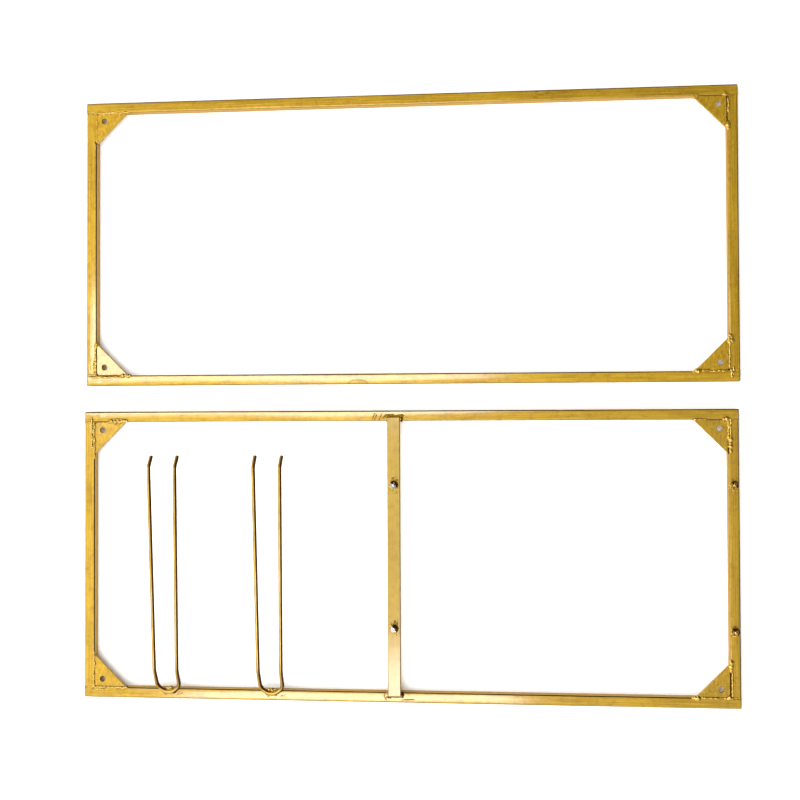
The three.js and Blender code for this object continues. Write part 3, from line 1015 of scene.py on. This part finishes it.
def build_grinding_strokes(name, prefix, origin):
    """Strokes of a grinding disc, which stand a little proud where they dragged the metal."""

    def build(bm, rng):
        for stroke in GRINDING_STROKES[name]:
            start, end = (origin + Vector((x, y, -STROKE_SUNK)) * MM for x, y in stroke)
            lay(bm, rng, "stroke", start, end)

    add_welds(f"{prefix}_{name}_strokes", prefix, build, HEAT_AND_SHADE_FINISH, voxel=0.16 * MM)


def build_bar_welds(depth):
    """Welds round the flat bar's end, where it lies on a long rail, with painted shade beyond it and on its
    right.
    """
    low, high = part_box("rack_centre_bar")
    rail_low, rail_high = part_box(f"rack_{depth}_rail")
    side_y = DEPTHS[depth]
    tip = high.y if side_y > 0 else low.y
    inner = rail_low.y if side_y > 0 else rail_high.y
    foot = rail_high.z + 0.1 * MM
    end_bead = "pool" if depth == "back" else "seam"

    def at(x, away, y):
        """The point at y on the rail, that many millimetres to the right of x."""
        return Vector((x + away * MM, y, foot))

    def gold(bm, rng):
        for x, side in ((low.x, -1), (high.x, 1)):
            start, end = (at(x, side * 0.6, y) for y in (tip - side_y * 0.5 * MM, inner + side_y * MM))
            lay(bm, rng, "fillet", start, end, Vector((side, 0, 2)).normalized())
            for _ in range(9):
                away = side * rng.uniform(2.5, 11) * MM
                point = Vector((x + away, rng.uniform(inner + side_y * MM, tip), rail_high.z))
                spatter_into(bm, rng, point, rng.uniform(0.25, 0.6) * MM)

    # A heat-browned bead beyond the end, darker as painted shade.
    def browned_and_shade(bm, rng):
        beyond = tip + side_y * MM
        lay(bm, rng, end_bead, at(low.x, 0.5, beyond), at(high.x, 1.5, beyond))

    # Painted shadow: a dark lump along the bar's right side and a dark strip by its left corner.
    def dark(bm, rng):
        start, end = at(high.x, 1.9, tip - side_y * 0.5 * MM), at(high.x, 1.5, inner + side_y * 0.5 * MM)
        lay(bm, rng, "shade_lump", start, end)
        start, end = at(low.x, -2.2, tip + side_y * 0.8 * MM), at(low.x, 2.5, tip + side_y * 2.2 * MM)
        lay(bm, rng, "scorch", start, end)

    add_welds(f"rack_bar_weld_{depth}", "rack", gold)
    add_welds(f"rack_bar_heated_{depth}", "rack", browned_and_shade, HEAT_AND_SHADE_FINISH)
    add_welds(f"rack_bar_scorch_{depth}", "rack", dark, SHADE_DARK_FINISH)


def build_loop_weld(hand):
    """Weld that holds a loop's closed end down on the front rail, with painted shade at its right and its
    left.
    """
    low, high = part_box(f"rack_wire_loop_{hand}")
    rail_low, rail_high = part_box("rack_front_rail")
    x, y, foot = (low.x + high.x) / 2, low.y + WIRE_RADIUS, rail_high.z + 0.1 * MM

    def at(away, back):
        """The point on the rail, in millimetres from the middle of the loop's closed end."""
        return Vector((x + away * MM, y + back * MM, foot))

    def gold(bm, rng):
        for back, kind in ((-2.6, "seam"), (2.6, "fillet"), (4.4, "fillet")):
            lay(bm, rng, kind, at(-5.5, back), at(4.5, back))
        lay(bm, rng, "seam", at(10, -3.4), at(15, -2.2))
        for _ in range(9):
            away, across = rng.uniform(-13, 16) * MM, rng.uniform(rail_low.y, rail_high.y)
            spatter_into(bm, rng, Vector((x + away, across, rail_high.z)), rng.uniform(0.25, 0.55) * MM)

    # Painted shade where the wire meets the rail: a dark lump at the right, a dark strip at the left.
    def dark(bm, rng):
        lay(bm, rng, "shade_lump", at(5.4, -0.6), at(7.2, 0.4))
        lay(bm, rng, "scorch", at(-8.0, 0.2), at(-4.0, -3.6))

    add_welds(f"rack_loop_weld_{hand}", "rack", gold)
    add_welds(f"rack_loop_scorch_{hand}", "rack", dark, SHADE_DARK_FINISH)


def build_stud_weld(name):
    """Weld and spatter round the foot of a nut, with painted shadow up to its rim at the right and the back.
    """
    low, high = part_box(f"rack_nut_{name}")
    centre = Vector(((low.x + high.x) / 2, (low.y + high.y) / 2, low.z))
    foot_radius = (high.x - low.x) / 2

    def ring_bead(bm, rng, start, end, radius, **size):
        points = [centre + radius * Vector((math.cos(a), math.sin(a), 0)) for a in (start, end)]
        bead_into(bm, rng, *points, UP, **size)

    def scatter(bm, rng, count, angles, distances, sizes, narrow):
        """Spatter round the nut, drawn in across the rail, with distances in nut radii."""
        for _ in range(count):
            angle, away = rng.uniform(*angles), rng.uniform(*distances) * foot_radius
            reach = Vector((narrow * math.cos(angle), math.sin(angle), 0))
            spatter_into(bm, rng, centre + away * reach, rng.uniform(*sizes) * MM)

    def gold(bm, rng):
        for k in range(6):
            start = 2 * math.pi * (k + rng.uniform(-0.2, 0.2)) / 6
            size = {"width": rng.uniform(1.6, 2.8) * MM, "height": rng.uniform(0.8, 1.6) * MM}
            around = start + rng.uniform(0.4, 0.8)
            ring_bead(bm, rng, start, around, foot_radius * rng.uniform(1.0, 1.15), **size)
        scatter(bm, rng, 22, (0, 2 * math.pi), (1.2, 2.6), (0.35, 0.8), 0.55)

    # Darker spatter at the right and the back, partly painted shadow.
    def browned_and_shade(bm, rng):
        scatter(bm, rng, 10, (-0.6, 2.6), (1.3, 2.2), (0.5, 1.0), 0.6)

    # Painted shadow: a tall dark ring round the right and the back of the nut.
    def dark(bm, rng):
        for start in (-0.75, -0.2, 0.35, 0.9, 1.45, 1.9):
            ring_bead(bm, rng, start, start + 0.5, foot_radius * 0.84, width=2.9 * MM, height=4.2 * MM)

    add_welds(f"rack_stud_weld_{name}", "rack", gold)
    add_welds(f"rack_stud_heated_{name}", "rack", browned_and_shade, HEAT_AND_SHADE_FINISH)
    add_welds(f"rack_stud_scorch_{name}", "rack", dark, SHADE_DARK_FINISH)


# ---- The object ----

NUT_TURNS = {"front": 0.12, "back": -0.2}  # in radians

for prefix in BODIES:
    for place in (*DEPTHS, *HANDS):
        build_rail(prefix, place, dent=(prefix, place) == ("plain", "front"))
    for depth in DEPTHS:
        for hand in HANDS:
            build_end_plate(prefix, depth, hand)
            build_gusset(prefix, depth, hand)
            build_joint_weld(prefix, depth, hand)
            build_gusset_weld(prefix, depth, hand)

build_burr()
build_centre_bar()
bar_low, bar_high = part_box("rack_centre_bar")
bar_x, face_z = (bar_low.x + bar_high.x) / 2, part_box("rack_back_rail")[1].z
plain_low, plain_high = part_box("plain_back_rail")
build_grinding_strokes("bar_back", "rack", Vector((bar_x, bar_high.y, face_z)))
build_grinding_strokes("bar_front", "rack", Vector((bar_x, bar_low.y, face_z)))
build_grinding_strokes("plain_back", "plain", Vector((0, (plain_low.y + plain_high.y) / 2, face_z)))
for depth in DEPTHS:
    build_bar_welds(depth)
for hand in HANDS:
    build_wire_loop(hand)
    build_loop_weld(hand)
for depth, turn in NUT_TURNS.items():
    for host, slot, material in (("bar", "zinc_steel", ZINC_FINISH), ("rail", "gold_paint", PAINT_WELD)):
        build_stud(f"{host}_{depth}", material, slot)
        build_nut(f"{host}_{depth}", material, slot, turn)
        build_stud_weld(f"{host}_{depth}")

# ---- Floor, light and camera ----


FLOOR_GREY = rgb(0.94, 0.94, 0.935)
FLOOR_WHITE = rgb(0.96, 0.96, 0.955)
FLOOR_REACH = 12.0
FLOOR_DROP = 0.02 * MM  # keeps the floor just clear of the rails' undersides
# Softboxes as (name, place, size, power).
SOFTBOXES = (
    ("key_left", (-0.53, 0.185, 1.9), (1.24, 0.31), 12.0),
    ("fill_front", (-0.33, -0.84, 1.9), (0.98, 0.30), 9.8),
)
CAMERA_PLACE = (0.1079, -0.0252, 1.2648)
CAMERA_DEGREES = (0.976, 5.136, -0.231)
CAMERA_LENS = 49.5
CAMERA_SENSOR = 36.0


def build_floor():
    """Matt white floor, a little uneven in tone."""
    n = Nodes(bpy.data.materials.new("white_floor"))
    white = n.mix(n.noise(n.place((1, 1, 1)), 3, 3), FLOOR_GREY, FLOOR_WHITE)
    mesh = bpy.data.meshes.new("floor")
    corners = [(x * FLOOR_REACH, y * FLOOR_REACH, 0) for x, y in ((-1, -1), (1, -1), (1, 1), (-1, 1))]
    mesh.from_pydata(corners, [], [(0, 1, 2, 3)])
    floor = bpy.data.objects.new("floor", mesh)
    floor.data.materials.append(n.shade({"Base Color": white, "Roughness": 0.85}))
    bpy.context.scene.collection.objects.link(floor)
    floor.location.z = -FLOOR_DROP


def softbox(name, place, size, power):
    """A rectangular softbox that faces straight down."""
    light = bpy.data.lights.new(name, "AREA")
    light.shape = "RECTANGLE"
    light.size, light.size_y = size
    light.energy = power
    obj = bpy.data.objects.new(name, light)
    obj.location = place
    bpy.context.scene.collection.objects.link(obj)


# Brightness of the studio seen by reflections, from the horizon up to the zenith, as (sine, level).
STUDIO_LEVELS = ((0.0, 0.10), (0.22, 0.35), (0.45, 0.95), (0.78, 1.15), (0.90, 0.40), (1.0, 0.34))
STUDIO_PEAK = 1.15
STUDIO_BRIGHT = 1.75
STUDIO_DIM = 0.25
STUDIO_TINT = rgb(1.0, 0.99, 0.97)
SOFT_LIGHT = 2.6  # how much brighter the studio is for the light it sheds than for reflections


def build_world():
    """Pale studio: a dim horizon under a bright ring, dimmer on the shaded side, white to the camera."""
    n = Nodes(bpy.data.worlds.new("studio"))
    bpy.context.scene.world = n.owner

    def smooth_step(value, low, high, to_low, to_high):
        inputs = {"Value": value, "From Min": low, "From Max": high, "To Min": to_low, "To Max": to_high}
        return n.add("ShaderNodeMapRange", inputs, interpolation_type="SMOOTHSTEP").outputs["Result"]

    direction = n.add("ShaderNodeTexCoord").outputs["Generated"]
    split = n.add("ShaderNodeSeparateXYZ", {"Vector": direction})
    levels = n.add("ShaderNodeValToRGB", {"Fac": split.outputs["Z"]})
    stops = levels.color_ramp.elements
    while len(stops) < len(STUDIO_LEVELS):
        stops.new(0.5)
    for stop, (place, level) in zip(stops, STUDIO_LEVELS):
        stop.position = place
        stop.color = [level / STUDIO_PEAK] * 3 + [1.0]

    rays = n.add("ShaderNodeLightPath").outputs
    across = [n.math("MULTIPLY", split.outputs[axis], share) for axis, share in zip("XY", AWAY_FROM_LIGHT)]
    sideways = smooth_step(n.math("ADD", *across), -0.45, 0.55, STUDIO_BRIGHT, STUDIO_DIM)
    strength = n.math("MULTIPLY", levels.outputs["Color"], sideways)
    soft = smooth_step(rays["Is Diffuse Ray"], 0.0, 1.0, 1.0, SOFT_LIGHT)
    strength = n.math("MULTIPLY", strength, soft)
    seen = n.add("ShaderNodeMix", {"Factor": rays["Is Camera Ray"], "A": strength, "B": 1.0})
    background = n.tree.nodes["Background"]
    n.put(background.inputs["Strength"], seen.outputs["Result"])
    n.put(background.inputs["Color"], STUDIO_TINT)


def build_camera():
    """Camera almost straight above, a little to the right, tilted back towards the middle."""
    camera = bpy.data.objects.new("camera", bpy.data.cameras.new("camera"))
    camera.data.lens = CAMERA_LENS
    camera.data.sensor_width = CAMERA_SENSOR
    camera.location = CAMERA_PLACE
    camera.rotation_euler = [math.radians(a) for a in CAMERA_DEGREES]
    bpy.context.scene.collection.objects.link(camera)
    bpy.context.scene.camera = camera


build_floor()
for name, place, size, power in SOFTBOXES:
    softbox(name, place, size, power)
build_world()
build_camera()
view = bpy.context.scene.view_settings
view.view_transform = "Standard"
view.look = "None"
